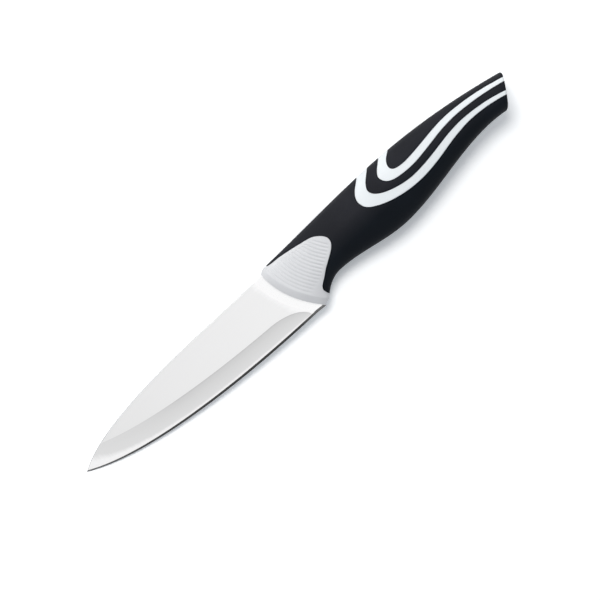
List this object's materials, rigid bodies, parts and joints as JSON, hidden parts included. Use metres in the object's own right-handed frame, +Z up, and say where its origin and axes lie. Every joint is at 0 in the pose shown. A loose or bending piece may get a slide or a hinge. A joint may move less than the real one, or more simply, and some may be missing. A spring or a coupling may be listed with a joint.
{
  "type": "paring knife",
  "caption": "Small kitchen knife: pointed ground steel blade, white ribbed collar and core moulded round its tang, and a soft black grip through which the core shows as curved white stripes.",
  "frame": {"origin": "centre of the base of the bounding box, on the surface the knife lies on", "axes": "+X from the tip to the butt, +Y from the cutting edge to the spine, +Z up through the knife's thickness"},
  "size_m": [0.1996, 0.0254, 0.0168],
  "materials": {
    "steel": "satin stainless, polished honed strip at the edge",
    "white_plastic": "satin",
    "black_rubber": "matte soft touch"
  },
  "bodies": {
    "root": {"blade": "steel", "handle_core": "white_plastic", "grip_sleeve": "black_rubber", "grip_band": "black_rubber", "grip_island": "black_rubber"}
  },
  "joints": []
}
